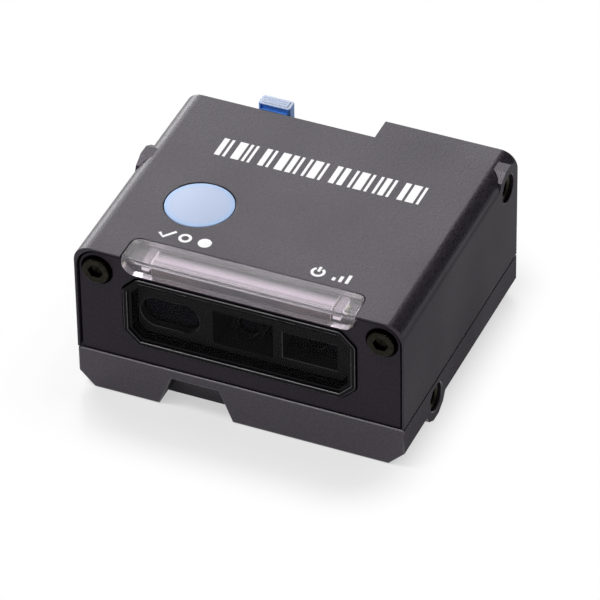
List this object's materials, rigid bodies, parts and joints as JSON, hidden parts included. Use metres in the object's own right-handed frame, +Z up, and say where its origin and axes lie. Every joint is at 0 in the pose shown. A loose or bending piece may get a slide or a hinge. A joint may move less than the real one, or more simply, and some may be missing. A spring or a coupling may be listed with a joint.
{
  "type": "fixed barcode reader",
  "caption": "Compact fixed-mount barcode reader: arched cover on a chamfered base, recessed reading window, wrap-over light bar, round status button, rear cable socket with release tab.",
  "frame": {"origin": "centre of the bounding box at the underside of the base", "axes": "+X to the right along the front, +Y to the rear, where the cable socket is, +Z up; the reading window looks along -Y"},
  "size_m": [0.05, 0.0432, 0.0254],
  "materials": {
    "housing_plastic": "fine spark-eroded charcoal",
    "panel_plastic": "fine grained near-black",
    "gloss_black": "polished black",
    "tinted_glass": "polished, dark tint",
    "rubber": "matt",
    "clear_plastic": "polished clear polycarbonate",
    "white_plastic": "white diffuser",
    "grey_plastic": "satin warm grey",
    "chassis_black": "satin black",
    "lens_glass": "coated",
    "dark_steel": "black oxide",
    "steel": "plain",
    "brass": "dull",
    "circuit_board": "green solder mask",
    "chip_black": "moulded",
    "led": "cast",
    "flex_amber": "film",
    "button_blue": "satin pale blue",
    "tab_blue": "satin blue",
    "contact_gold": "plated"
  },
  "bodies": {
    "housing": {"top_cover": "housing_plastic", "base_shell": "housing_plastic", "front_panel": "panel_plastic", "window_bezel": "gloss_black", "window_glass": "tinted_glass", "window_gasket": "rubber", "light_pipe": "clear_plastic", "light_reflector": "grey_plastic", "light_diffusers": "white_plastic", "optical_chassis": "chassis_black", "camera_barrel": "dark_steel", "camera_lens": "lens_glass", "image_sensor": "chip_black", "sensor_board": "circuit_board", "illumination_leds": "led", "illumination_lens": "lens_glass", "aimer_module": "dark_steel", "aimer_lens": "lens_glass", "indicator_board": "circuit_board", "indicator_leds": "led", "main_board": "circuit_board", "processor": "chip_black", "memory_chip": "chip_black", "board_components": "grey_plastic", "beeper": "chip_black", "flex_cable": "flex_amber", "switch_case": "chip_black", "switch_dome": "rubber", "release_spring": "steel", "cable_socket": "chassis_black", "socket_contacts": "contact_gold", "mounting_inserts": "brass", "front_screws": "dark_steel", "cover_screws": "steel", "board_screws": "steel"},
    "button": {"status_button": "button_blue", "switch_plunger": "white_plastic"},
    "tab": {"release_tab": "tab_blue"}
  },
  "joints": [
    {"name": "button_press", "type": "slide", "parent": "housing", "child": "button", "axis": [0, 0, -1], "range_m": [0, 0.0006], "stiffness_N_per_m": 1500, "springref_m": -0.0006, "deforming": ["switch_dome"]},
    {"name": "tab_press", "type": "slide", "parent": "housing", "child": "tab", "axis": [0, 0, -1], "range_m": [0, 0.0015], "stiffness_N_per_m": 900, "springref_m": -0.001, "deforming": ["release_spring"]}
  ]
}
